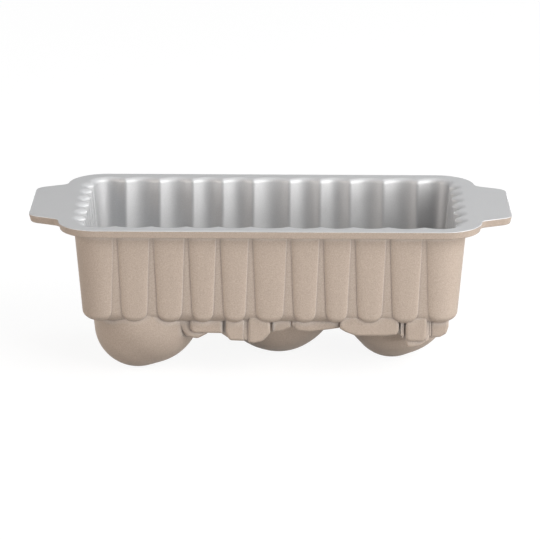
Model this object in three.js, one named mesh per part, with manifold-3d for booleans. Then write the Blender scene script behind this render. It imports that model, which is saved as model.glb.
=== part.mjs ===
// Decorative loaf pan: one aluminium casting with a nonstick coat inside and a colour coat outside.
// Fluted walls, a flat rim with two tab handles, and a base sculpted into three domes and a row of bars.
// Millimetres, +Z up. The origin is on the table, below the middle of the pan, which stands on its domes.

import * as THREE from 'three';
import { mergeVertices } from 'three/addons/utils/BufferGeometryUtils.js';
import Module from 'manifold-3d';

// Rim and handles
const panHeight = 100;
const overallLength = 300;
const rimLength = 261;
const rimWidth = 137;
const rimThickness = 5;
const rimCorner = 24.5;
const handleRootWidth = 84;
const handleTipWidth = 66;
const handleCorner = 9;
const handleFillet = 6;

// Fluted walls, measured over the pillars just under the rim
const wallLength = 242.6;
const wallWidth = 124;
const wallDepth = 63.2;
const wallThickness = 3.5;
const wallCorner = 17;
const wallDraft = THREE.MathUtils.degToRad(3.7);
const footRadius = 6;
const mouthRadius = 3;
const longPanelWidths = [23.4, 19.9, 19.4, 21.5, 22.1];
const endPanelWidth = 16.3;
const endPillarsEachSide = 2;
const endFlutesEachSide = 3;

// Pillars outside and flutes inside
const pillarDepth = 3.2;
const grooveWidthAtRim = 1;
const grooveWidthAtFoot = 5.6;
const pillarEdgeRun = 2;
const fluteDepth = 3.4;
const fluteKnee = 0.5;
const ribWidth = 2.3;

// Coats, drawn thicker than the real films, and the gap that keeps each one a body of its own
const coatThickness = 0.4;
const seatGap = 0.3;

// Domes of the base: a small ball at the table widens into a larger one near the floor of the pan
const domes = [
  { x: -83.6, y: -23.5, tipRadius: 27.4, rootX: -77.9, rootY: -21.5, rootRadius: 34, rootAboveFloor: -1.2 },
  { x: 5.1, y: 9.3, tipRadius: 34.8, rootX: 4.4, rootY: 9.3, rootRadius: 38.9, rootAboveFloor: 2.6 },
  { x: 77.1, y: -1.7, tipRadius: 25.7, rootX: 79.6, rootY: -1.7, rootRadius: 35.1, rootAboveFloor: 0.3 },
];

// Bars and blocks along the front of the base: ends in X, drop below the floor, faces in Y, lower corners
const barRootRise = 5;
const bars = [
  { from: -50, to: -38, drop: 11.3, front: -48, back: -26, leftCorner: 4, rightCorner: 6 },
  { from: -46, to: -20, drop: 8.1, front: -50, back: -28, leftCorner: 4, rightCorner: 2 },
  { from: -26.7, to: -14.5, drop: 12.4, front: -51, back: -30, leftCorner: 4, rightCorner: 2 },
  { from: -12.6, to: 0.7, drop: 12.4, front: -51, back: -30, leftCorner: 2, rightCorner: 7 },
  { from: -6, to: 13, drop: 6.1, front: -49.5, back: -21, leftCorner: 2, rightCorner: 2 },
  { from: 14.8, to: 44, drop: 5.2, front: -49.5, back: -21, leftCorner: 2, rightCorner: 4 },
  { from: 42.6, to: 80, drop: 7.4, front: -50.5, back: -28, leftCorner: 6, rightCorner: 4 },
  { from: 83.7, to: 96, drop: 13.6, front: -51, back: -26, leftCorner: 3, rightCorner: 3 },
  { from: 98.4, to: 111.2, drop: 10.4, front: -49, back: -24, leftCorner: 2, rightCorner: 7 },
];

// Finishes
const castFinish = { color: 0xb9bbbd, roughness: 0.5, metalness: 1 };
const nonstickFinish = { color: 0xb6b8ba, roughness: 0.42, metalness: 0.6 };
const champagneFinish = { color: 0xbba896, roughness: 0.48, metalness: 0.5 };

// Steps of the round stretches
const arcSteps = 3;
const domeSides = 18;
const domeLevels = 11;
const domeBalls = 8;
const cornerPanelSteps = 5;
const filletSteps = 2;
const barCornerSteps = 2;
const samePoint = 1e-4;

// Places worked out from the sizes above
const rimUnderside = panHeight - rimThickness;
const floorHeight = panHeight - wallDepth;
const grooveHalfLength = wallLength / 2 - pillarDepth;
const grooveHalfWidth = wallWidth / 2 - pillarDepth;
const cornerX = grooveHalfLength - wallCorner;
const cornerY = grooveHalfWidth - wallCorner;
const coatAndGap = coatThickness + seatGap;
const insideRim = panHeight - rimThickness / 2;
const clearOfRim = panHeight + rimThickness;

// Solids that can be joined and cut
const wasm = await Module();
wasm.setup();

// Closed geometry to a solid
function solidOf(geometry) {
  const bare = geometry.clone();
  bare.deleteAttribute('normal');
  bare.deleteAttribute('uv');
  const merged = mergeVertices(bare, samePoint);
  return new wasm.Manifold(new wasm.Mesh({
    numProp: 3,
    vertProperties: new Float32Array(merged.attributes.position.array),
    triVerts: new Uint32Array(merged.index.array),
  }));
}

// Finished solid back to a geometry
function geometryOf(solid) {
  const mesh = solid.getMesh();
  const geometry = new THREE.BufferGeometry();
  geometry.setAttribute('position', new THREE.BufferAttribute(mesh.vertProperties, mesh.numProp));
  geometry.setIndex(new THREE.BufferAttribute(mesh.triVerts, 1));
  geometry.computeVertexNormals();
  return geometry;
}

// Quarter outline, from the +X axis round to the +Y axis, mirrored into a whole loop
function wholeLoop(quarter) {
  const mirrored = quarter.map((p) => new THREE.Vector2(-p.x, p.y)).reverse();
  const half = [...quarter, ...mirrored];
  const otherHalf = half.map((p) => new THREE.Vector2(p.x, -p.y)).reverse();
  const loop = [...half, ...otherHalf];
  return loop.filter((p, i) => p.distanceTo(loop[(i + 1) % loop.length]) > samePoint);
}

// Loop moved outwards by a distance, square to its sides
function grownLoop(loop, distance) {
  const count = loop.length;
  const normals = loop.map((p, i) => {
    const side = loop[(i + 1) % count].clone().sub(p).normalize();
    return new THREE.Vector2(side.y, -side.x);
  });
  return loop.map((p, i) => {
    const before = normals[(i + count - 1) % count];
    const after = normals[i];
    const mitre = before.clone().add(after).divideScalar(1 + before.dot(after));
    return p.clone().addScaledVector(mitre, distance);
  });
}

// Closed body through a stack of level loops of equal count, closed at a lowest and a highest point
function loft(rings, lowest, highest) {
  const count = rings[0].loop.length;
  const positions = rings.flatMap(({ loop, z }) => loop.flatMap((p) => [p.x, p.y, z]));
  const lowIndex = positions.length / 3;
  const highIndex = lowIndex + 1;
  const lastRing = (rings.length - 1) * count;
  positions.push(...lowest.toArray(), ...highest.toArray());
  const faces = [];
  for (let i = 0; i < count; i += 1) {
    const next = (i + 1) % count;
    faces.push(lowIndex, next, i);
    faces.push(highIndex, lastRing + i, lastRing + next);
    for (let base = 0; base < lastRing; base += count) {
      faces.push(base + i, base + next, base + count + next);
      faces.push(base + i, base + count + next, base + count + i);
    }
  }
  const geometry = new THREE.BufferGeometry();
  geometry.setAttribute('position', new THREE.Float32BufferAttribute(positions, 3));
  geometry.setIndex(faces);
  return solidOf(geometry);
}

// Stack of wall loops with flat ends
function wallStack(rings) {
  const lowest = new THREE.Vector3(0, 0, rings[0].z);
  const highest = new THREE.Vector3(0, 0, rings[rings.length - 1].z);
  return loft(rings, lowest, highest);
}

// Rim plate with its handles: each handle's straight side runs between a tip arc and a root fillet
function rimPlate(inset, low, high) {
  const root = new THREE.Vector2(rimLength / 2, handleRootWidth / 2);
  const tip = new THREE.Vector2(overallLength / 2, handleTipWidth / 2);
  const along = tip.clone().sub(root).normalize();
  const out = new THREE.Vector2(-along.y, along.x);
  const corner = new THREE.Vector2(rimLength / 2 - rimCorner, rimWidth / 2 - rimCorner);
  const start = root.clone().addScaledVector(out, handleFillet).sub(corner);
  const lean = start.dot(along);
  const reach = rimCorner + handleFillet;
  const travel = Math.sqrt(lean * lean - start.lengthSq() + reach * reach) - lean;
  const arm = start.addScaledVector(along, travel);
  const fillet = corner.clone().add(arm);
  const tipArcX = overallLength / 2 - handleCorner;
  const tipArcY = root.y - (handleCorner + out.x * (tipArcX - root.x)) / out.y;
  const quarter = new THREE.Path();
  quarter.absarc(tipArcX, tipArcY, handleCorner - inset, 0, out.angle(), false);
  const filletStart = out.angle() + Math.PI;
  const filletEnd = arm.angle() + Math.PI;
  quarter.absarc(fillet.x, fillet.y, handleFillet + inset, filletStart, filletEnd, true);
  quarter.absarc(corner.x, corner.y, rimCorner - inset, arm.angle(), Math.PI / 2, false);
  const shape = new THREE.Shape(wholeLoop(quarter.getPoints(arcSteps)));
  const plate = new THREE.ExtrudeGeometry(shape, { depth: high - low, bevelEnabled: false });
  return solidOf(plate.translate(0, 0, low));
}

// Distance along the quarter wall where each panel begins, from mid-end round to mid-side
function panelBounds(quarterLength, endPanels) {
  const endBounds = [];
  for (let i = 0; i <= endPanels; i += 1) {
    endBounds.push(endPanelWidth * i);
  }
  const sideBounds = [quarterLength + longPanelWidths[0] / 2];
  for (const width of longPanelWidths) {
    sideBounds.unshift(sideBounds[0] - width);
  }
  return [...endBounds, ...sideBounds];
}

// Wall outline: a rounded rectangle, drawn in by a distance, with a raised section on each panel
function wallLoop(drawnIn, endPanels, section) {
  const radius = wallCorner - drawnIn;
  const arcEnd = cornerY + radius * Math.PI / 2;
  const quarterLength = arcEnd + cornerX;
  const bounds = panelBounds(quarterLength, endPanels);
  const quarter = [];
  for (let panel = 0; panel + 1 < bounds.length; panel += 1) {
    const width = bounds[panel + 1] - bounds[panel];
    const isCorner = panel === endPanels;
    for (const [run, height] of section(width, isCorner)) {
      const s = bounds[panel] + run;
      if (s < quarterLength) {
        quarter.push(wallPoint(s, height));
      }
    }
  }
  return wholeLoop(quarter);

  function wallPoint(s, height) {
    if (s < cornerY) {
      return new THREE.Vector2(cornerX + radius + height, s);
    }
    if (s > arcEnd) {
      return new THREE.Vector2(quarterLength - s, cornerY + radius + height);
    }
    const turn = (s - cornerY) / radius;
    const reach = radius + height;
    return new THREE.Vector2(cornerX + reach * Math.cos(turn), cornerY + reach * Math.sin(turn));
  }
}

// Section across a pillar: groove edge, steep side, crown and back again
function pillarSection(grooveWidth, depth) {
  return (width, isCorner) => {
    const edge = grooveWidth / 2;
    return acrossPanel(width, [[edge, 0], [edge + pillarEdgeRun, depth]], isCorner, () => depth);
  };
}

// Section across a flute: rib edge, then a shallow curved hollow and back to the next rib
function fluteSection(depth) {
  return (width, isCorner) => {
    const half = width / 2 - ribWidth / 2;
    const hollow = (run) => depth * (1 - ((run - width / 2) / half) ** 2);
    const inner = width / 2 - half * fluteKnee;
    return acrossPanel(width, [[ribWidth / 2, 0], [inner, hollow(inner)]], isCorner, hollow);
  };
}

// Points of one panel: its rise, the steps of a corner's long crown, and the rise mirrored
function acrossPanel(width, rise, isCorner, crownHeight) {
  const crown = [];
  const start = rise[rise.length - 1][0];
  for (let i = 1; isCorner && i <= cornerPanelSteps; i += 1) {
    const run = start + (width - 2 * start) * i / (cornerPanelSteps + 1);
    crown.push([run, crownHeight(run)]);
  }
  const fall = rise.map(([run, height]) => [width - run, height]).reverse();
  return [...rise, ...crown, ...fall];
}

// How far the draft has drawn the wall in at a height
function draftAt(z) {
  return (rimUnderside - z) * Math.tan(wallDraft);
}

// Dome: level slices through all the balls that lie between its tip and its root
function dome({ x, y, tipRadius, rootX, rootY, rootRadius, rootAboveFloor }, inset) {
  const tip = new THREE.Vector3(x, y, tipRadius);
  const root = new THREE.Vector3(rootX, rootY, floorHeight + rootAboveFloor);
  const low = inset;
  const high = root.z + rootRadius - inset;
  const rings = [];
  for (let level = 1; level < domeLevels; level += 1) {
    const z = low + (high - low) * (1 - Math.cos(Math.PI * level / domeLevels)) / 2;
    const climb = THREE.MathUtils.clamp((z - tip.z) / (root.z - tip.z), 0, 1);
    const middle = tip.clone().lerp(root, climb);
    const loop = [];
    for (let side = 0; side < domeSides; side += 1) {
      const turn = 2 * Math.PI * side / domeSides;
      const ray = new THREE.Vector2(Math.cos(turn), Math.sin(turn));
      loop.push(new THREE.Vector2(middle.x, middle.y).addScaledVector(ray, reach(middle, ray, z)));
    }
    rings.push({ loop, z });
  }
  return loft(rings, new THREE.Vector3(x, y, low), new THREE.Vector3(rootX, rootY, high));

  // Farthest that any ball reaches from a point, along a level ray
  function reach(from, ray, z) {
    let farthest = 0;
    for (let step = 0; step <= domeBalls; step += 1) {
      const ball = tip.clone().lerp(root, step / domeBalls);
      const radius = THREE.MathUtils.lerp(tipRadius, rootRadius, step / domeBalls) - inset;
      const away = new THREE.Vector2(ball.x - from.x, ball.y - from.y);
      const along = ray.dot(away);
      const half = radius ** 2 - (z - ball.z) ** 2 - away.lengthSq() + along ** 2;
      if (half > 0) {
        farthest = Math.max(farthest, along + Math.sqrt(half));
      }
    }
    return farthest;
  }
}

// Bar of the base: its front outline with two round lower corners, carried back into the base
function bar({ from, to, drop, front, back, leftCorner, rightCorner }, inset) {
  const left = from + inset;
  const right = to - inset;
  const low = floorHeight - drop + inset;
  const high = floorHeight + barRootRise;
  const leftRound = Math.max(leftCorner - inset, coatThickness);
  const rightRound = Math.max(rightCorner - inset, coatThickness);
  const shape = new THREE.Shape();
  shape.moveTo(right, high);
  shape.lineTo(left, high);
  shape.absarc(left + leftRound, low + leftRound, leftRound, Math.PI, Math.PI * 1.5, false);
  shape.absarc(right - rightRound, low + rightRound, rightRound, -Math.PI / 2, 0, false);
  const depth = back - front - 2 * inset;
  const options = { depth, bevelEnabled: false, curveSegments: barCornerSteps };
  const geometry = new THREE.ExtrudeGeometry(shape, options);
  return solidOf(geometry.rotateX(Math.PI / 2).translate(0, back - inset, 0));
}

// Walls and base with the domes and bars joined on, all drawn in from the outside by an inset
function outsideForm(inset, top) {
  const foot = footRadius - inset;
  const rings = [];
  for (let i = 0; i <= filletSteps; i += 1) {
    const turn = (Math.PI / 2) * (1 - i / filletSteps);
    const z = floorHeight + inset + foot * (1 - Math.sin(turn));
    const drawnIn = draftAt(z) + foot * (1 - Math.cos(turn));
    const section = pillarSection(grooveWidthAtFoot, pillarDepth * Math.cos(turn));
    rings.push({ loop: grownLoop(wallLoop(drawnIn, endPillarsEachSide, section), -inset), z });
  }
  const atRim = pillarSection(grooveWidthAtRim, pillarDepth);
  const rimLoop = grownLoop(wallLoop(draftAt(rimUnderside), endPillarsEachSide, atRim), -inset);
  rings.push({ loop: rimLoop, z: rimUnderside });
  rings.push({ loop: rimLoop, z: top });
  let form = wallStack(rings);
  domes.forEach((each) => { form = form.add(dome(each, inset)); });
  bars.forEach((each) => { form = form.add(bar(each, inset)); });
  return form;
}

// Space inside the pan, with the mouth rounded out onto the rim, all grown into the metal by a distance
function insideForm(growth, top) {
  const inset = wallThickness - growth;
  const drawnInside = wallThickness + fluteDepth - pillarDepth;
  const foot = footRadius - inset;
  const mouth = mouthRadius - growth;
  const rings = [];
  for (let i = 0; i <= filletSteps; i += 1) {
    const turn = (Math.PI / 2) * (1 - i / filletSteps);
    const z = floorHeight + inset + foot * (1 - Math.sin(turn));
    const drawnIn = drawnInside + draftAt(z) + foot * (1 - Math.cos(turn));
    const section = fluteSection(fluteDepth * Math.cos(turn));
    rings.push({ loop: grownLoop(wallLoop(drawnIn, endFlutesEachSide, section), growth), z });
  }
  for (let i = 0; i <= filletSteps; i += 1) {
    const turn = (Math.PI / 2) * (i / filletSteps);
    const z = panHeight - growth - mouth * (1 - Math.sin(turn));
    const drawnIn = drawnInside + draftAt(panHeight - mouthRadius);
    const flare = mouth * (1 - Math.cos(turn));
    const mouthLoop = wallLoop(drawnIn, endFlutesEachSide, fluteSection(fluteDepth));
    rings.push({ loop: grownLoop(mouthLoop, growth + flare), z });
  }
  rings.push({ loop: rings[rings.length - 1].loop, z: top });
  let form = wallStack(rings);
  domes.forEach((each) => { form = form.add(dome(each, inset)); });
  bars.forEach((each) => { form = form.add(bar(each, inset)); });
  return form;
}

// Aluminium casting: rim plate and walls in one, with the inside cut out of it
function castBody() {
  const top = panHeight - coatAndGap;
  const plate = rimPlate(coatAndGap, rimUnderside + coatAndGap, top);
  const walls = outsideForm(coatAndGap, insideRim);
  return plate.add(walls).subtract(insideForm(coatAndGap, clearOfRim));
}

// Nonstick coat: covers the inside and the flat top of the rim and handles
function interiorCoat() {
  const plate = rimPlate(0, panHeight - coatThickness, panHeight);
  const lining = insideForm(coatThickness, panHeight - coatThickness / 2);
  return plate.add(lining).subtract(insideForm(0, clearOfRim));
}

// Colour coat: covers the walls and base outside, and the underside and edge of the rim and handles
function exteriorCoat() {
  const plate = rimPlate(0, rimUnderside, panHeight - coatAndGap);
  const skin = plate.add(outsideForm(0, insideRim));
  const inner = rimPlate(coatThickness, rimUnderside + coatThickness, clearOfRim);
  return skin.subtract(inner).subtract(outsideForm(coatThickness, clearOfRim));
}

// Named piece of the pan
function piece(name, solid, finish) {
  const mesh = new THREE.Mesh(geometryOf(solid), new THREE.MeshStandardMaterial(finish));
  mesh.name = name;
  return mesh;
}

const pan = new THREE.Group();
pan.name = 'decorative_loaf_pan';
pan.add(piece('cast_body', castBody(), castFinish));
pan.add(piece('interior_nonstick_coat', interiorCoat(), nonstickFinish));
pan.add(piece('exterior_coat', exteriorCoat(), champagneFinish));

export default pan;
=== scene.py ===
"""Decorative loaf pan: one aluminium casting, silver nonstick inside and champagne coat outside.

Sizes are in millimetres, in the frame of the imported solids: +X along the pan, +Y to its back, +Z up.
"""

import bpy
import numpy as np
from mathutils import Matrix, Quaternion, Vector


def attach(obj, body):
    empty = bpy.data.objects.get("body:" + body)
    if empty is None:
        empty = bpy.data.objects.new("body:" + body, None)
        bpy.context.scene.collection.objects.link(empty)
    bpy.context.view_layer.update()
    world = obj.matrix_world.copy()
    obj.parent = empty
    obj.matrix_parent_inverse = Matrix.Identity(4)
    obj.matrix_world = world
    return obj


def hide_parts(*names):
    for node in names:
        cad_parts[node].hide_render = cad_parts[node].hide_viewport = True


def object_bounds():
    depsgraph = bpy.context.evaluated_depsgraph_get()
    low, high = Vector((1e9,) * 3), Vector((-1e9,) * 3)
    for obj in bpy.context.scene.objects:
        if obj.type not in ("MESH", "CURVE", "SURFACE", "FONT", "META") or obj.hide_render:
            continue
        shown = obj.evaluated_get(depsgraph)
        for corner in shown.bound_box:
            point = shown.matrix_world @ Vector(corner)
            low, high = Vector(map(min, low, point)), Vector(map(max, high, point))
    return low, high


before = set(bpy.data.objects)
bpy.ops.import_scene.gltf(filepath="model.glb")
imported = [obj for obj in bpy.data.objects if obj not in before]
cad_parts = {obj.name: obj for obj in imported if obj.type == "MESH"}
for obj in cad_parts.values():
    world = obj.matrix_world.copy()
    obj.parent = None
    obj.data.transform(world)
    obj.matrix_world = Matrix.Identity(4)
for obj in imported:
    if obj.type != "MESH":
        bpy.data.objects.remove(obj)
cad_low, cad_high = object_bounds()


# Aluminium casting.
# The pan itself, poured in one piece: a flat rim with two tab handles, fluted walls with pillars outside,
# and a base sculpted into three domes and a row of bars. Both coats hide it, and take their forms from it.
MM = 0.001
pan_height = cad_high.z / MM
overall_length = (cad_high.x - cad_low.x) / MM
rim_width = (cad_high.y - cad_low.y) / MM
rim_length = 261
rim_thickness = 5
rim_corner = 24.5
handle_root_width = 84
handle_tip_width = 66
handle_corner = 9
handle_fillet = 6
rim_lower_round = 0.8
rim_edge_slant = 0.9

wall_length = 242.6
wall_width = 124
wall_depth = 63.2
wall_thickness = 3.5
wall_corner = 18.7
inside_corner = 11
wall_slope = np.tan(np.radians(4.7))
side_panels = np.array([22.1, 21.5, 19.4, 19.9, 23.4])
end_pillars = np.array([16.3, 16.3])
end_flutes = np.array([16.3, 16.3, 13.9])

pillar_depth = 2.2
pillar_fullness = 2.6
pillar_end_round = 6.5
pillar_end_share = 0.9
pillar_end_height = 9
groove_at_rim = 2.2
groove_at_foot = 6.8
foot_round = 5
groove_foot_round = 7.5
rim_fillet = 0.8

flute_depth = 3.6
rib_width = 2.0
end_flute_depth = 4.0
end_rib_width = 3.8
rib_softness = 0.1
mouth_round = 3
end_mouth_round = 5

rim_underside = pan_height - rim_thickness
floor_height = pan_height - wall_depth
outside_x = wall_length / 2 - pillar_depth
outside_y = wall_width / 2 - pillar_depth
rib_inset = wall_thickness + flute_depth - pillar_depth

domes = [
    {"tip": (-83.0, -23.5, 27.4), "root": (-77.4, -21.5, floor_height - 1.2), "root_radius": 34.0},
    {"tip": (5.1, 9.3, 34.8), "root": (4.4, 9.3, floor_height + 2.6), "root_radius": 38.9},
    {"tip": (77.1, -1.7, 25.7), "root": (79.6, -1.7, floor_height + 0.3), "root_radius": 35.1},
]

# Each bar's lower outline runs from left to right as (x, drop below the floor, corner round). Its faces are
# the y of its front and back, and its lean is how far the front comes forward for each millimetre up. The
# solid bars stand beside or under hollow ones, and the strips fill the slots between bars.
hollow_bars = [
    {"outline": [(-57, 3, 3), (-52, 11, 5), (-45, 12.6, 5), (-38, 8.8, 3)], "faces": (-47.5, -24), "lean": 0},
    {"outline": [(-49.5, 4.5, 2), (-47.5, 7.8, 2.5), (-29.2, 8, 1)], "faces": (-50.5, -28), "lean": 0},
    {"outline": [(-27.4, 7, 3), (-25, 12.2, 2.5), (-15.4, 12.6, 1)], "faces": (-52.4, -30), "lean": 0.05},
    {"outline": [(-13.4, 12.8, 1), (-10, 13.7, 4), (-4.5, 12.3, 5), (0.4, 6.5, 4)],
     "faces": (-54.2, -30), "lean": 0.08},
    {"outline": [(1.3, 7.3, 1), (7.5, 6.6, 3), (13.2, 4, 1.5)], "faces": (-50, -21), "lean": 0},
    {"outline": [(14.6, 4.6, 2), (18.5, 6.6, 4), (26, 6.9, 5), (43.6, 4.4, 1)],
     "faces": (-49.8, -21), "lean": 0},
    {"outline": [(43.4, 3.6, 1), (47, 5.8, 4), (53.5, 8.4, 5), (72, 8.3, 4), (78.5, 7.5, 2), (80, 4.5, 1)],
     "faces": (-54.3, -28), "lean": 0.1},
    {"outline": [(84.2, 9.5, 2), (86, 11.8, 2), (95.5, 12, 2), (97.2, 9.5, 2)],
     "faces": (-54.4, -26), "lean": 0.1},
    {"outline": [(99.5, 10.6, 1), (106, 9.8, 3), (109.6, 7.6, 3), (111, 3, 3)],
     "faces": (-50, -24), "lean": 0},
]
solid_bars = [
    {"outline": [(-32, 8, 1), (-26, 12.3, 2), (-20, 12.6, 2)], "faces": (-46.5, -28), "lean": 0},
    {"outline": [(-18, 12.4, 1), (-10, 12.6, 1)], "faces": (-47, -30), "lean": 0},
    {"outline": [(-8, 13.6, 2), (-3.5, 12.8, 4), (0.6, 8, 4)], "faces": (-49, -30), "lean": 0},
    {"outline": [(77, 8.2, 1), (85, 10.7, 1)], "faces": (-47, -28), "lean": 0},
    {"outline": [(84, 12, 3), (84.8, 15.8, 1.5), (87.5, 16.9, 3), (93.5, 15.7, 4), (99, 12, 3)],
     "faces": (-50.8, -26), "lean": 0},
]
slot_strips = [
    {"outline": [(-15, 12.4, 0.3), (-14, 12.4, 0.3)], "faces": (-51.6, -44), "lean": 0},
    {"outline": [(13.7, 4.2, 0.3), (16, 4.2, 0.3)], "faces": (-49.4, -44), "lean": 0},
    {"outline": [(81.4, 9.6, 0.3), (83.2, 10.2, 0.3)], "faces": (-51.4, -44), "lean": 0},
    {"outline": [(98.1, 10.5, 0.3), (101, 10.3, 0.3)], "faces": (-49.8, -44), "lean": 0},
]
bar_root_rise = 5
bar_root_round = 0.3
bar_front_round = 2.0
least_round = 0.2
small_round_points = 7


def mirrored(quarter):
    """Rows of a quarter outline, from the +X axis round to the +Y axis, mirrored into whole loops."""
    half = np.concatenate([quarter, quarter[:, -2::-1] * (-1, 1, 1)], axis=1)
    return np.concatenate([half, half[:, -2:0:-1] * (1, -1, 1)], axis=1)


def body(name, rows):
    """Closed body through a stack of loops, rows[level, point], each end closed by one flat face."""
    levels, count = rows.shape[:2]
    index = np.arange(levels * count).reshape(levels, count)
    after = np.roll(index, -1, axis=1)
    sides = np.stack([index[:-1], after[:-1], after[1:], index[1:]], axis=-1).reshape(-1, 4)
    ends = [index[0, ::-1].tolist(), index[-1].tolist()]
    mesh = bpy.data.meshes.new(name)
    mesh.from_pydata((rows.reshape(-1, 3) * MM).tolist(), [], sides.tolist() + ends)
    made = bpy.data.objects.new(name, mesh)
    bpy.context.scene.collection.objects.link(made)
    return made


def combined(first, operation, others):
    """The first body with the others joined to it or cut out of it."""
    for other in others:
        step = first.modifiers.new(operation, "BOOLEAN")
        step.operation = operation
        step.solver = "MANIFOLD"
        step.object = other
    worked = first.evaluated_get(bpy.context.evaluated_depsgraph_get())
    first.data = bpy.data.meshes.new_from_object(worked)
    first.modifiers.clear()
    for other in others:
        bpy.data.objects.remove(other)
    return first


def rim_outline(inset):
    """Quarter of the rim with its handle, drawn in by an inset: a tip arc, a root fillet and a corner arc."""
    tip_points, fillet_points, corner_points = 16, 12, 36
    root = np.array([rim_length / 2, handle_root_width / 2])
    tip = np.array([overall_length / 2, handle_tip_width / 2])
    along = (tip - root) / np.hypot(*(tip - root))
    out = np.array([-along[1], along[0]])
    corner = np.array([rim_length / 2 - rim_corner, rim_width / 2 - rim_corner])
    start = root + out * handle_fillet - corner
    lean = start @ along
    arm = start + along * (np.sqrt(lean**2 - start @ start + (rim_corner + handle_fillet) ** 2) - lean)
    tip_x = overall_length / 2 - handle_corner
    tip_y = root[1] - (handle_corner + out[0] * (tip_x - root[0])) / out[1]
    out_turn = np.arctan2(out[1], out[0])
    arm_turn = np.arctan2(arm[1], arm[0])

    def arc(middle, radius, first, last, points):
        turn = np.linspace(first, last, points)
        return np.stack([middle[0] + radius * np.cos(turn), middle[1] + radius * np.sin(turn)], axis=-1)

    return np.concatenate([
        [[overall_length / 2 - inset, 0]],
        arc((tip_x, tip_y), handle_corner - inset, 0, out_turn, tip_points),
        arc(corner + arm, handle_fillet + inset, out_turn + np.pi, arm_turn + np.pi, fillet_points),
        arc(corner, rim_corner - inset, arm_turn, np.pi / 2, corner_points),
        [[0, rim_width / 2 - inset]],
    ])


def rim_plate(name, edge):
    """Rim plate whose edge follows rows of an inset and a height."""
    plans = np.stack([rim_outline(inset) for inset in edge[:, 0]])
    levels = np.broadcast_to(edge[:, 1, None, None], (*plans.shape[:2], 1))
    return body(name, mirrored(np.concatenate([plans, levels], axis=2)))


def lower_edge(inset, top):
    """Edge of the rim from its underside: a quarter round, then a side that slants out to its top."""
    turn = np.linspace(0, np.pi / 2, small_round_points)
    radius = rim_lower_round - inset
    low = np.column_stack([
        rim_edge_slant + rim_lower_round - radius * np.sin(turn),
        rim_underside + rim_lower_round - radius * np.cos(turn),
    ])
    return np.append(low, [[inset, top]], axis=0)


def panel_stations(count, places):
    """Panel and place across it, 0 in its middle, for every point from mid-end to mid-side."""
    panel = np.repeat(np.arange(count), len(places))
    place = np.tile(places, count)
    kept = (panel < count - 1) | (place <= 0)
    return panel[kept], place[kept]


def panel_seams(end_panels, radius, reach_x, reach_y):
    """Distance along the quarter wall of each seam between panels, and half a panel past mid-side."""
    quarter = reach_y + reach_x + radius * (np.pi / 2 - 2)
    sides = quarter + side_panels[-1] / 2 - np.cumsum(np.append(0, side_panels[::-1]))[::-1]
    return np.concatenate([[0], np.cumsum(end_panels), sides])


def corner_turn(along, radius, reach_y):
    """Angle that the wall's outward side has turned from the end to the long side, at a distance along it."""
    return np.clip((along - (reach_y - radius)) / radius, 0, np.pi / 2)


def wall_points(along, radius, reach_x, reach_y, height, z):
    """Points at level z of a rounded-rectangle wall, at a distance along it and moved out by a height."""
    corner_x = reach_x - radius
    corner_y = reach_y - radius
    turn = corner_turn(along, radius, reach_y)
    x = corner_x + (radius + height) * np.cos(turn) - np.maximum(along - corner_y - radius * np.pi / 2, 0)
    y = np.minimum(along, corner_y) + (radius + height) * np.sin(turn)
    return np.stack([x, y, np.broadcast_to(z, x.shape)], axis=-1)


def wall_levels(foot_rows, wall_rows, top_rows):
    """For every row up a wall: the turn of its foot round, the share climbed and the turn of its top round.

    The last row repeats the one below it, to be moved to the level where the body ends.
    """
    quarter = np.pi / 2
    foot_turn = np.append(np.linspace(quarter, 0, foot_rows), np.zeros(wall_rows + top_rows + 1))
    climb = np.concatenate([np.zeros(foot_rows - 1), np.linspace(0, 1, wall_rows + 1), np.ones(top_rows + 1)])
    below_top = np.zeros(foot_rows + wall_rows - 1)
    top_turn = np.concatenate([below_top, np.linspace(0, quarter, top_rows + 1), [quarter]])
    return foot_turn[:, None], climb[:, None], top_turn[:, None]


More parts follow.
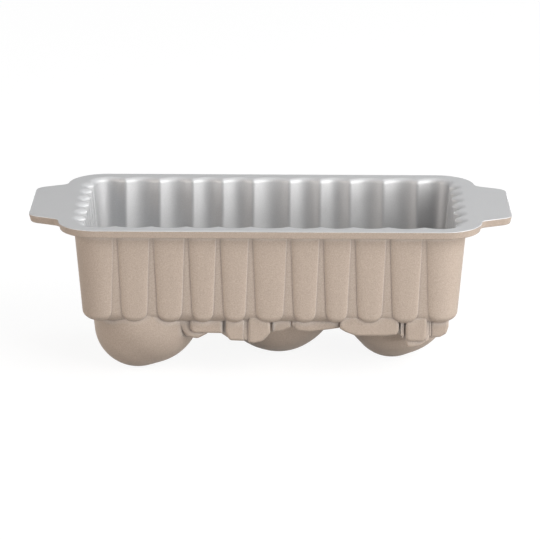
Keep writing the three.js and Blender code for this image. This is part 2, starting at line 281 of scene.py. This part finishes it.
def outside_body(name, inset, top):
    """Outside of the walls: panels between seams, each a rounded pillar with a round lower end.

    Across a pillar the relief is a little fuller than an ellipse, and the groove beside it is flat. Down the
    wall the grooves widen. At the foot a quarter round turns under, wider in the grooves.
    """
    half_points = 13
    seam_place, groove_place = 2, 1.5
    half_pillar = np.linspace(0, 1, half_points)
    places = np.concatenate([[-seam_place, -groove_place], -half_pillar[:0:-1], half_pillar, [groove_place]])
    plan = (wall_corner, outside_x, outside_y)
    seams = panel_seams(end_pillars, *plan)
    panel, place = panel_stations(len(seams) - 1, places)
    half = (seams[panel + 1] - seams[panel]) / 2
    middle = (seams[panel + 1] + seams[panel]) / 2
    fold = np.abs(place)
    share = np.sin(np.minimum(fold, 1) * np.pi / 2)
    crown = np.sqrt(1 - share**pillar_fullness)
    foot = groove_foot_round + (foot_round - groove_foot_round) * crown - inset

    foot_turn, climb, rim_turn = wall_levels(foot_rows=12, wall_rows=14, top_rows=8)
    fillet = rim_fillet + inset
    foot_top = floor_height + inset + foot
    wall_top = rim_underside - rim_fillet
    z = foot_top - foot * np.sin(foot_turn) + (wall_top - foot_top) * climb + fillet * np.sin(rim_turn)
    drawn_in = foot * (1 - np.cos(foot_turn)) + inset - fillet * (1 - np.cos(rim_turn))
    draft = np.maximum(rim_underside - z, 0) * wall_slope

    groove = np.interp(z, [floor_height, rim_underside], [groove_at_foot / 2, groove_at_rim / 2]) + inset
    end_round = np.minimum(pillar_end_round, pillar_end_share * (half - groove))
    below = np.clip((floor_height + pillar_end_height - z) / pillar_end_height, 0, 1)
    edge = half - groove - end_round * (1 - np.sqrt(1 - below**2))
    across = np.where(fold <= 1, edge * share, edge + (half - edge) * (fold - 1)) * np.sign(place)

    height = pillar_depth * crown * np.cos(foot_turn) - draft - drawn_in
    rows = wall_points(middle + across, *plan, height, z)
    rows[-1, :, 2] = top
    return body(name, mirrored(rows))


def inside_body(name, growth, top):
    """Space inside the pan: shallow round flutes between narrow ribs, with a foot round and a rounded mouth.

    The mouth is the flutes' outline grown by a ball that rolls up to the rim.
    """
    plan = (inside_corner, outside_x - rib_inset, outside_y - rib_inset)
    seams = panel_seams(end_flutes, *plan)
    points_across, ball_points = 24, 41
    places = np.sin(np.linspace(-np.pi / 2, np.pi / 2, points_across + 1))[:-1]
    panel, place = panel_stations(len(seams) - 1, places)
    depth = np.where(panel < len(end_flutes), end_flute_depth, flute_depth)
    rib = np.where(panel < len(end_flutes), end_rib_width, rib_width)
    half = (seams[panel + 1] - seams[panel]) / 2
    middle = (seams[panel + 1] + seams[panel]) / 2
    across = half * place

    def flute(distance):
        folded = half - np.abs(half - np.abs(distance))
        hollow = 1 - (folded / (half - rib / 2)) ** 2
        return depth * (hollow + np.sqrt(hollow**2 + rib_softness**2)) / 2

    foot_turn, climb, mouth_turn = wall_levels(foot_rows=8, wall_rows=6, top_rows=10)
    foot = foot_round - wall_thickness + growth
    floor = floor_height + wall_thickness - growth
    mouth = mouth_round - growth
    foot_top = floor + foot
    wall_top = pan_height - mouth_round
    z = foot_top - foot * np.sin(foot_turn) + (wall_top - foot_top) * climb + mouth * np.sin(mouth_turn)
    draft = (rim_underside - np.minimum(z, wall_top)) * wall_slope

    facing_end = np.cos(corner_turn(middle + across, inside_corner, outside_y - rib_inset)) ** 2
    reach = mouth_round + (end_mouth_round - mouth_round) * facing_end - growth
    flare = reach * (1 - np.cos(mouth_turn))
    shift = np.linspace(-1, 1, ball_points)[:, None, None]
    grown = np.max(flute(across + shift * flare) + flare * np.sqrt(1 - shift**2), axis=0)
    relief = grown * np.cos(foot_turn)
    height = relief - draft - foot * (1 - np.cos(foot_turn)) + growth
    rows = wall_points(middle + across, *plan, height, z)
    rows[-1, :, 2] = top
    return body(name, mirrored(rows))


def dome_body(name, spec, inset):
    """Dome: at each level the outline is the farthest reach of the balls between its tip and its root."""
    level_count, points_round, ball_count = 56, 96, 33
    tip = np.array(spec["tip"])
    root = np.array(spec["root"])
    low = inset
    high = root[2] + spec["root_radius"] - inset
    level = np.linspace(0, np.pi, level_count)[1:-1]
    z = low + (high - low) * (1 - np.cos(level)) / 2
    climb = np.clip((z - tip[2]) / (root[2] - tip[2]), 0, 1)
    middle = tip + (root - tip) * climb[:, None]
    turn = np.linspace(0, 2 * np.pi, points_round, endpoint=False)
    share = np.linspace(0, 1, ball_count)
    ball = tip + (root - tip) * share[:, None]
    radius = tip[2] + (spec["root_radius"] - tip[2]) * share - inset
    away_x = ball[None, :, 0] - middle[:, None, 0]
    away_y = ball[None, :, 1] - middle[:, None, 1]
    along = away_x[:, None] * np.cos(turn)[None, :, None] + away_y[:, None] * np.sin(turn)[None, :, None]
    level_square = radius**2 - (z[:, None] - ball[None, :, 2]) ** 2 - away_x**2 - away_y**2
    square = level_square[:, None] + along**2
    reach = np.max(np.where(square > 0, along + np.sqrt(np.maximum(square, 0)), 0), axis=-1)
    x = middle[:, None, 0] + reach * np.cos(turn)
    y = middle[:, None, 1] + reach * np.sin(turn)
    return body(name, np.stack([x, y, np.broadcast_to(z[:, None], x.shape)], axis=-1))


def round_outline(corners, drawn):
    """Outline through convex corners (x, z, round), drawn in by a distance.

    At each corner it is an arc about the point that lies one radius inside both of the corner's edges.
    """
    arc_points = 9
    edge = np.roll(corners[:, :2], -1, axis=0) - corners[:, :2]
    after = np.stack([edge[:, 1], -edge[:, 0]], axis=-1) / np.hypot(*edge.T)[:, None]
    before = np.roll(after, 1, axis=0)
    radius = np.maximum(corners[:, 2], drawn + least_round)
    reach_before = np.sum(before * corners[:, :2], axis=1) - radius
    reach_after = np.sum(after * corners[:, :2], axis=1) - radius
    cross = before[:, 0] * after[:, 1] - before[:, 1] * after[:, 0]
    middle_x = (reach_before * after[:, 1] - reach_after * before[:, 1]) / cross
    middle_z = (before[:, 0] * reach_after - after[:, 0] * reach_before) / cross
    first = np.arctan2(before[:, 1], before[:, 0])
    sweep = np.arctan2(cross, np.sum(before * after, axis=1))
    turn = first[:, None] + sweep[:, None] * np.linspace(0, 1, arc_points)
    left = (radius - drawn)[..., None]
    x = middle_x[..., None] + left * np.cos(turn)
    z = middle_z[..., None] + left * np.sin(turn)
    return x.reshape(len(drawn), -1), z.reshape(len(drawn), -1)


def bar_body(name, spec, inset):
    """Bar: its outline carried from its back to its leaning front, where a quarter round draws it in.

    The inset leaves the bar's root at its height, so that a hollow bar stays open to the inside of the pan.
    """
    front, back = spec["faces"]
    lower = np.array(spec["outline"], float)
    top = floor_height + bar_root_rise + inset
    corners = np.concatenate([
        np.column_stack([lower[:, 0], floor_height - lower[:, 1], lower[:, 2]]),
        [[lower[-1, 0], top, bar_root_round], [lower[0, 0], top, bar_root_round]],
    ])
    front_turn = np.append(0, np.linspace(0, np.pi / 2, small_round_points))[:, None]
    front_round = max(bar_front_round - inset, least_round)
    x, z = round_outline(corners, inset + front_round * (1 - np.cos(front_turn)))
    y = front + inset + front_round * (1 - np.sin(front_turn)) - spec["lean"] * (z - floor_height)
    y[0] = back - inset
    return body(name, np.stack([x, y, z], axis=-1))


def base_forms(inset, bars):
    """Domes and bars of the base, drawn in by an inset."""
    round_forms = [dome_body("dome", spec, inset) for spec in domes]
    return round_forms + [bar_body("bar", spec, inset) for spec in bars]


def outside_form(name, inset, top):
    """Walls with the base's domes and bars, drawn in by an inset. Strips are too narrow to be drawn in."""
    walls = outside_body(name, inset, top)
    strips = slot_strips if inset == 0 else []
    return combined(walls, "UNION", base_forms(inset, hollow_bars + solid_bars + strips))


def inside_form(name, growth, top):
    """Space inside the pan with the hollows of its domes and bars, grown into the metal by a distance."""
    space = inside_body(name, growth, top)
    return combined(space, "UNION", base_forms(wall_thickness - growth, hollow_bars))


def finish_surface(piece):
    """Smooth shading weighted by the size of the faces, with creases where they meet at a wide angle."""
    crease = np.radians(40)
    piece.data.shade_smooth()
    piece.data.set_sharp_from_angle(angle=crease)
    weighted = piece.modifiers.new("even_shading", "WEIGHTED_NORMAL")
    weighted.keep_sharp = True


casting_inset = 0.75
casting_rim_drop = 1.2
above_rim = pan_height + rim_thickness
inside_rim = pan_height - rim_thickness / 2
casting = rim_plate("casting", lower_edge(casting_inset, pan_height - casting_rim_drop))
combined(casting, "UNION", [outside_form("walls", casting_inset, inside_rim)])
combined(casting, "DIFFERENCE", [inside_form("space", casting_inset, above_rim)])
finish_surface(casting)


def coat_grain():
    """Node group for the fine grain of the metal and its coats: small flakes over a slow mottle.

    Shade is near 1 and multiplies a colour, and Height is the flakes' relief from 0 to 1.
    """
    group = bpy.data.node_groups.new("coat_grain", "ShaderNodeTree")
    for name, value in (("Flake Scale", 1500.0), ("Flake Contrast", 0.1), ("Mottle Contrast", 0.04)):
        group.interface.new_socket(name, in_out="INPUT", socket_type="NodeSocketFloat").default_value = value
    group.interface.new_socket("Shade", in_out="OUTPUT", socket_type="NodeSocketFloat")
    group.interface.new_socket("Height", in_out="OUTPUT", socket_type="NodeSocketFloat")
    nodes, links = group.nodes, group.links
    given = nodes.new("NodeGroupInput")
    result = nodes.new("NodeGroupOutput")
    place = nodes.new("ShaderNodeTexCoord")
    flakes = nodes.new("ShaderNodeTexNoise")
    flakes.inputs["Detail"].default_value = 2.0
    mottle = nodes.new("ShaderNodeTexNoise")
    mottle.inputs["Scale"].default_value = 70.0
    mottle.inputs["Detail"].default_value = 3.0
    links.new(place.outputs["Object"], flakes.inputs["Vector"])
    links.new(place.outputs["Object"], mottle.inputs["Vector"])
    links.new(given.outputs["Flake Scale"], flakes.inputs["Scale"])
    links.new(flakes.outputs["Fac"], result.inputs["Height"])

    def centred(texture, contrast, name):
        offset = nodes.new("ShaderNodeMath")
        offset.operation = "SUBTRACT"
        offset.inputs[1].default_value = 0.5
        scaled = nodes.new("ShaderNodeMath")
        scaled.name = name
        scaled.operation = "MULTIPLY"
        links.new(texture.outputs["Fac"], offset.inputs[0])
        links.new(offset.outputs[0], scaled.inputs[0])
        links.new(given.outputs[contrast], scaled.inputs[1])
        return scaled

    both = nodes.new("ShaderNodeMath")
    both.operation = "ADD"
    shade = nodes.new("ShaderNodeMath")
    shade.operation = "ADD"
    shade.inputs[1].default_value = 1.0
    links.new(centred(flakes, "Flake Contrast", "flake_shade").outputs[0], both.inputs[0])
    links.new(centred(mottle, "Mottle Contrast", "mottle_shade").outputs[0], both.inputs[1])
    links.new(both.outputs[0], shade.inputs[0])
    links.new(shade.outputs[0], result.inputs["Shade"])
    return group


grain = coat_grain()


def grained_metal(name, colour, painted_hollow_shading, metallic, roughness, specular, flakes, relief):
    """Satin metal finish shaded by the grain, whose relief is its bump.

    Each of the hollows is a reach in metres, a closed share and a colour of painted light or shade, from the
    widest to the tightest. The finish turns to that colour as the free share of the view out of a point falls
    from 1 to the closed share, so that light or shade is painted into the hollows.
    """
    material = bpy.data.materials.new(name)
    material.use_nodes = True
    nodes, links = material.node_tree.nodes, material.node_tree.links
    shader = nodes["Principled BSDF"]
    shader.inputs["Metallic"].default_value = metallic
    shader.inputs["Roughness"].default_value = roughness
    shader.inputs["Specular IOR Level"].default_value = specular
    speckle = nodes.new("ShaderNodeGroup")
    speckle.node_tree = grain
    speckle.inputs["Flake Contrast"].default_value = flakes
    tint = nodes.new("ShaderNodeMix")
    tint.data_type = "RGBA"
    tint.blend_type = "MULTIPLY"
    tint.inputs["Factor"].default_value = 1.0
    bump = nodes.new("ShaderNodeBump")
    bump.inputs["Strength"].default_value = relief
    bump.inputs["Distance"].default_value = 0.0002

    shaded = None
    for reach, closed_share, painted_hollow_colour in painted_hollow_shading:
        openness = nodes.new("ShaderNodeAmbientOcclusion")
        openness.samples = 8
        openness.only_local = True
        openness.inputs["Distance"].default_value = reach
        counted = nodes.new("ShaderNodeMapRange")
        counted.inputs["From Min"].default_value = closed_share
        mix = nodes.new("ShaderNodeMix")
        mix.data_type = "RGBA"
        mix.inputs["A"].default_value = (*painted_hollow_colour, 1)
        mix.inputs["B"].default_value = (*colour, 1)
        links.new(openness.outputs["AO"], counted.inputs["Value"])
        links.new(counted.outputs["Result"], mix.inputs["Factor"])
        if shaded:
            links.new(shaded.outputs["Result"], mix.inputs["B"])
        shaded = mix
    links.new(shaded.outputs["Result"], tint.inputs["A"])
    links.new(speckle.outputs["Shade"], tint.inputs["B"])
    links.new(tint.outputs["Result"], shader.inputs["Base Color"])
    links.new(speckle.outputs["Height"], bump.inputs["Height"])
    links.new(bump.outputs["Normal"], shader.inputs["Normal"])
    return material


# The casting's hollow colour is painted shade: a darker grey in creases within a millimetre.
casting_finish = grained_metal(
    "cast_aluminium", colour=(0.58, 0.59, 0.60), painted_hollow_shading=[(0.001, 0.0, (0.40, 0.41, 0.42))],
    metallic=1.0, roughness=0.5, specular=0.25, flakes=0.1, relief=0.2,
)
casting.data.materials.clear()
casting.data.materials.append(casting_finish)
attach(casting, "root")
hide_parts("cast_body")


# Nonstick coat.
# A silver-grey film sprayed and baked onto the inside of the walls and base, the flat of the rim and the
# handle tops. It rolls over the rim's outer edge, where the champagne coat begins.
nonstick_thickness = 0.45
nonstick_lap = 0.4
lap_turn = np.linspace(0, np.pi / 2, small_round_points)
lap_edge = np.column_stack([
    nonstick_lap * (1 - np.cos(lap_turn)),
    pan_height - nonstick_lap * (1 - np.sin(lap_turn)),
])
nonstick = rim_plate("nonstick_lining", lap_edge)
combined(nonstick, "UNION", [inside_form("lining", nonstick_thickness, pan_height - nonstick_lap / 2)])
combined(nonstick, "DIFFERENCE", [inside_form("space", 0, above_rim)])
finish_surface(nonstick)
wall_metal = 0.72
flat_metal = 0.04
# The lining's hollow colour is painted shade: a darker grey in creases within a millimetre.
nonstick_finish = grained_metal(
    "nonstick_silver", colour=(0.55, 0.554, 0.562), painted_hollow_shading=[(0.001, 0.0, (0.40, 0.40, 0.40))],
    metallic=wall_metal, roughness=0.59, specular=0.18, flakes=0.20, relief=0.2,
)
# The film is thickest on faces that lie level, such as the rim, and there less of the metal shows.
nodes, links = nonstick_finish.node_tree.nodes, nonstick_finish.node_tree.links
facing = nodes.new("ShaderNodeNewGeometry")
axes = nodes.new("ShaderNodeSeparateXYZ")
film = nodes.new("ShaderNodeMapRange")
film.name = "film_thickness"
film.inputs["From Min"].default_value = 0.5
film.inputs["From Max"].default_value = 0.95
film.inputs["To Min"].default_value = wall_metal
film.inputs["To Max"].default_value = flat_metal
links.new(facing.outputs["Normal"], axes.inputs[0])
links.new(axes.outputs["Z"], film.inputs["Value"])
links.new(film.outputs["Result"], nodes["Principled BSDF"].inputs["Metallic"])
nonstick.data.materials.clear()
nonstick.data.materials.append(nonstick_finish)
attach(nonstick, "root")
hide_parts("interior_nonstick_coat")


# Champagne coat.
# A satin metallic coat sprayed over the outside of the walls and base, the rim's edge and underside and the
# undersides of the handles.
champagne_thickness = 0.4
seam = 0.05
champagne = rim_plate("champagne_coat", lower_edge(0, pan_height - nonstick_lap - seam))
combined(champagne, "UNION", [outside_form("walls", 0, inside_rim)])
hollow_rim = rim_plate("rim", lower_edge(champagne_thickness, above_rim))
combined(champagne, "DIFFERENCE", [hollow_rim, outside_form("inner", champagne_thickness, above_rim)])
finish_surface(champagne)
# Painted sheen: within 4 mm hollows the coat turns a lighter silver, which also lifts the shade under the
# rim.
painted_groove_sheen = (0.64, 0.62, 0.60)
# Painted shade: within 1.6 mm creases the coat turns dark brown.
painted_crevice_shade = (0.11, 0.035, 0.015)
champagne_finish = grained_metal(
    "champagne_coat", colour=(0.415, 0.347, 0.296),
    painted_hollow_shading=[(0.004, 0.3, painted_groove_sheen), (0.0016, 0.0, painted_crevice_shade)],
    metallic=0.0, roughness=0.5, specular=0.1, flakes=0.55, relief=0.3,
)
champagne.data.materials.clear()
champagne.data.materials.append(champagne_finish)
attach(champagne, "root")
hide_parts("exterior_coat")


# Floor and studio light.
# A plain floor, white to the camera and in reflections, keeps the pan's shadow. Four soft boxes light the
# pan from the right, left and above, and five low ones light mostly its outside. The world is a weak fill.
floor_reach = 12.0
floor_corners = [(-floor_reach, -floor_reach), (floor_reach, -floor_reach),
                 (floor_reach, floor_reach), (-floor_reach, floor_reach)]
floor_mesh = bpy.data.meshes.new("floor")
floor_mesh.from_pydata([(x, y, 0) for x, y in floor_corners], [], [(0, 1, 2, 3)])
floor = bpy.data.objects.new("floor", floor_mesh)
bpy.context.scene.collection.objects.link(floor)


def traced_rays(nodes, links):
    """Light Path node, and a socket that is 1 for rays that a surface has mirrored or let through."""
    path = nodes.new("ShaderNodeLightPath")
    either = nodes.new("ShaderNodeMath")
    either.operation = "MAXIMUM"
    links.new(path.outputs["Is Glossy Ray"], either.inputs[0])
    links.new(path.outputs["Is Transmission Ray"], either.inputs[1])
    return path, either.outputs[0]


paper = bpy.data.materials.new("white_floor")
paper.use_nodes = True
nodes, links = paper.node_tree.nodes, paper.node_tree.links
nodes.remove(nodes["Principled BSDF"])
bounce = nodes.new("ShaderNodeBsdfDiffuse")
bounce.name = "bounce"
bounce.inputs["Color"].default_value = (0.4, 0.37, 0.34, 1)
shadowed = nodes.new("ShaderNodeBsdfDiffuse")
shadowed.name = "shadowed"
shadowed.inputs["Color"].default_value = (0.15, 0.15, 0.15, 1)
glow = nodes.new("ShaderNodeEmission")
glow.inputs["Strength"].default_value = 0.9
white = nodes.new("ShaderNodeAddShader")
path, in_reflection = traced_rays(nodes, links)
any_seen = nodes.new("ShaderNodeMath")
any_seen.operation = "MAXIMUM"
seen_or_lit = nodes.new("ShaderNodeMixShader")
links.new(path.outputs["Is Camera Ray"], any_seen.inputs[0])
links.new(in_reflection, any_seen.inputs[1])
links.new(shadowed.outputs[0], white.inputs[0])
links.new(glow.outputs[0], white.inputs[1])
links.new(any_seen.outputs[0], seen_or_lit.inputs[0])
links.new(bounce.outputs[0], seen_or_lit.inputs[1])
links.new(white.outputs[0], seen_or_lit.inputs[2])
links.new(seen_or_lit.outputs[0], nodes["Material Output"].inputs["Surface"])
floor_mesh.materials.append(paper)

light_distance = 2.0
light_target = Vector((0, 0, 0.06))


def soft_box(name, azimuth, elevation, size, power, colour):
    """Square soft box facing the pan, at an azimuth to the right of the front and an elevation in degrees."""
    turn, rise = np.radians((azimuth, elevation))
    away = Vector((np.cos(rise) * np.sin(turn), -np.cos(rise) * np.cos(turn), np.sin(rise)))
    lamp = bpy.data.lights.new(name, "AREA")
    lamp.size = size
    lamp.energy = power
    lamp.color = colour
    box = bpy.data.objects.new(name, lamp)
    box.location = light_target + away * light_distance
    box.rotation_euler = away.to_track_quat("Z", "Y").to_euler()
    bpy.context.scene.collection.objects.link(box)


soft_box("key", 51, 27, 1.8, 43, (1.0, 0.98, 0.95))
soft_box("right", 92, 32, 1.6, 14, (1.0, 1.0, 1.0))
soft_box("warm_left", -65, 26, 0.8, 8, (1.0, 0.86, 0.74))
soft_box("low_left", -68, 4, 0.6, 14, (1.0, 0.96, 0.92))
soft_box("low_right", 48, 3, 0.5, 12, (1.0, 1.0, 1.0))
soft_box("low_front", -8, 2, 0.3, 7, (1.0, 1.0, 1.0))
soft_box("overhead", 180, 80, 1.2, 9, (0.86, 0.93, 1.0))
soft_box("back_left", -150, 1, 0.3, 10, (1.0, 1.0, 1.0))
soft_box("back_right", 150, 1, 0.3, 10, (1.0, 1.0, 1.0))

world = bpy.data.worlds.new("studio")
world.use_nodes = True
nodes, links = world.node_tree.nodes, world.node_tree.links
sky = nodes["Background"]
sky.inputs["Color"].default_value = (0.95, 0.97, 1, 1)
path, in_reflection = traced_rays(nodes, links)
place = nodes.new("ShaderNodeTexCoord")
axes = nodes.new("ShaderNodeSeparateXYZ")
depth = nodes.new("ShaderNodeMapRange")
depth.name = "front_to_back"
depth.inputs["From Min"].default_value = -1.0
depth.inputs["To Min"].default_value = 0.1
depth.inputs["To Max"].default_value = 0.85
mirrored_or_not = nodes.new("ShaderNodeMix")
mirrored_or_not.name = "mirrored_or_not"
mirrored_or_not.inputs["A"].default_value = 0.05
seen_or_not = nodes.new("ShaderNodeMix")
seen_or_not.inputs["B"].default_value = 1.0
links.new(place.outputs["Generated"], axes.inputs[0])
links.new(axes.outputs["Y"], depth.inputs["Value"])
links.new(in_reflection, mirrored_or_not.inputs["Factor"])
links.new(depth.outputs[0], mirrored_or_not.inputs["B"])
links.new(path.outputs["Is Camera Ray"], seen_or_not.inputs["Factor"])
links.new(mirrored_or_not.outputs["Result"], seen_or_not.inputs["A"])
links.new(seen_or_not.outputs["Result"], sky.inputs["Strength"])
bpy.context.scene.world = world


# Camera.
# The photograph's place: 15 degrees above the rim, a long lens, turned half a degree to the right.
photo_size = 540
focal_pixels = 3052
rim_centre_pixel = (270.6, 202.0)
camera_distance = 1.922
elevation = np.radians(15.25)
azimuth = np.radians(0.53)
roll = np.radians(0.13)
rim_centre = Vector((0, 0, cad_high.z))
level_reach = np.cos(elevation)
towards = Vector((np.sin(azimuth) * level_reach, -np.cos(azimuth) * level_reach, np.sin(elevation)))
lens = bpy.data.cameras.new("photo_camera")
lens.sensor_width = 36
lens.lens = lens.sensor_width * focal_pixels / photo_size
camera = bpy.data.objects.new("photo_camera", lens)
camera.location = rim_centre + towards * camera_distance
pan = np.arctan((rim_centre_pixel[0] - photo_size / 2) / focal_pixels)
dip = np.arctan((photo_size / 2 - rim_centre_pixel[1]) / focal_pixels)
heading = azimuth + pan
lowering = elevation + dip
aim = Vector((-np.sin(heading) * np.cos(lowering), np.cos(heading) * np.cos(lowering), -np.sin(lowering)))
camera.rotation_euler = (aim.to_track_quat("-Z", "Y") @ Quaternion((0, 0, 1), roll)).to_euler()
bpy.context.scene.collection.objects.link(camera)
bpy.context.scene.camera = camera
bpy.context.scene.view_settings.view_transform = "Standard"
